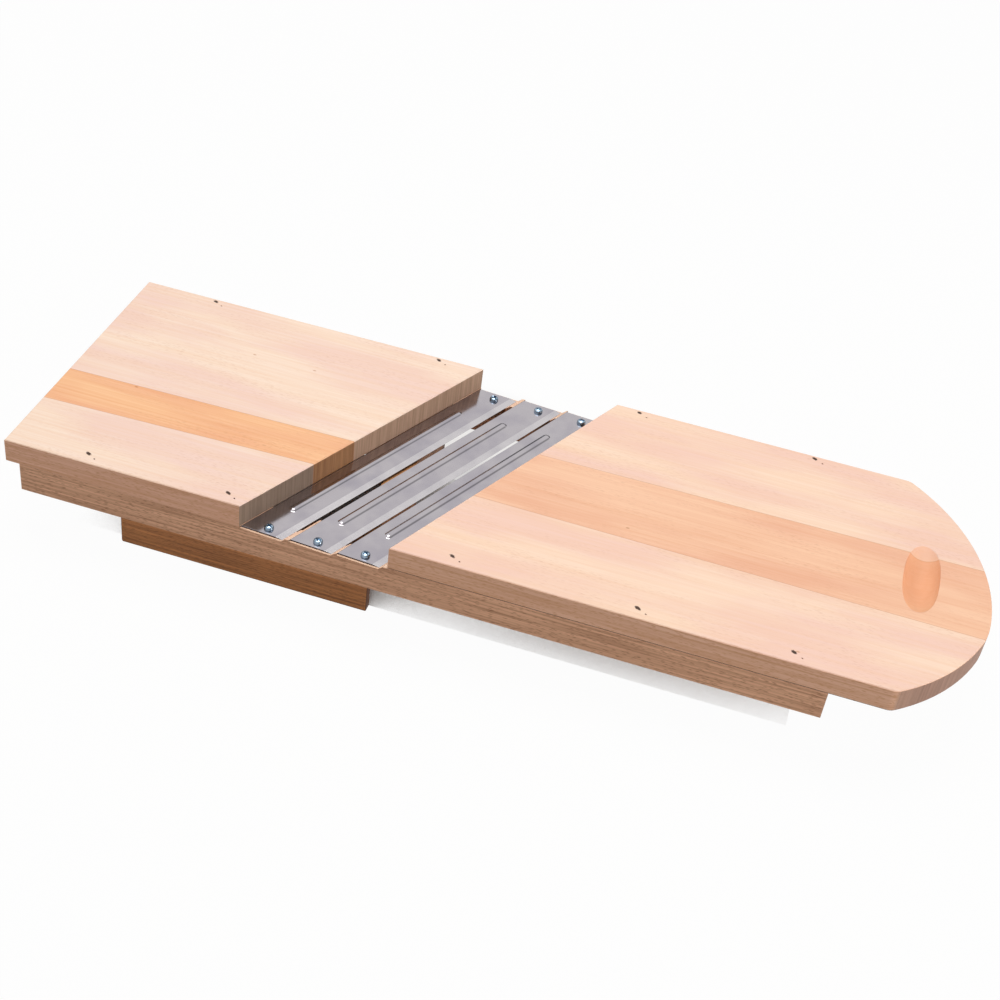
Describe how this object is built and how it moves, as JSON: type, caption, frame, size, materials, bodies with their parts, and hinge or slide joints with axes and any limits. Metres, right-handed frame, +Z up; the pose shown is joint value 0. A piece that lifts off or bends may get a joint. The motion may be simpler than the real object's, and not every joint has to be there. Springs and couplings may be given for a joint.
{
  "type": "wooden vegetable slicer",
  "caption": "Long wooden board slicer with slanted steel blades set in its side rails and a box hopper that slides along them, shown upside down.",
  "frame": {"origin": "below the middle of the outline, on the plane of the hopper's rim, which the slicer is set down on as it lies upside down", "axes": "+X along the boards to the rounded end, +Y to the back, +Z up to the boards' outer faces, away from the hopper"},
  "size_m": [0.601, 0.2, 0.0775],
  "materials": {
    "pale_beech": "pale planed and sanded beech, left bare",
    "warm_beech": "more orange planed and sanded beech, left bare",
    "rail_beech": "planed beech, left bare",
    "hopper_beech": "darker planed beech, left bare",
    "blade_steel": "rolled stainless sheet with a ground bevel",
    "screw_zinc": "bright bluish zinc plate",
    "staple_steel": "dull galvanised wire",
    "brad_steel": "dull bright wire"
  },
  "bodies": {
    "slicer": {"left_board_front_stave": "pale_beech", "left_board_middle_stave": "warm_beech", "left_board_back_stave": "pale_beech", "right_board_front_stave": "pale_beech", "right_board_middle_stave": "warm_beech", "right_board_back_stave": "pale_beech", "front_rail": "rail_beech", "back_rail": "rail_beech", "blade_1": "blade_steel", "blade_2": "blade_steel", "blade_3": "blade_steel", "blade_1_screws": "screw_zinc", "blade_2_screws": "screw_zinc", "blade_3_screws": "screw_zinc", "left_board_staples": "staple_steel", "right_board_staples": "staple_steel"},
    "hopper": {"hopper_front_side": "hopper_beech", "hopper_back_side": "hopper_beech", "hopper_left_end": "hopper_beech", "hopper_right_end": "hopper_beech", "hopper_left_end_brads": "brad_steel", "hopper_right_end_brads": "brad_steel"}
  },
  "joints": [
    {"name": "hopper_slide", "type": "slide", "parent": "slicer", "child": "hopper", "axis": [1, 0, 0], "range_m": [-0.055, 0.284]}
  ]
}
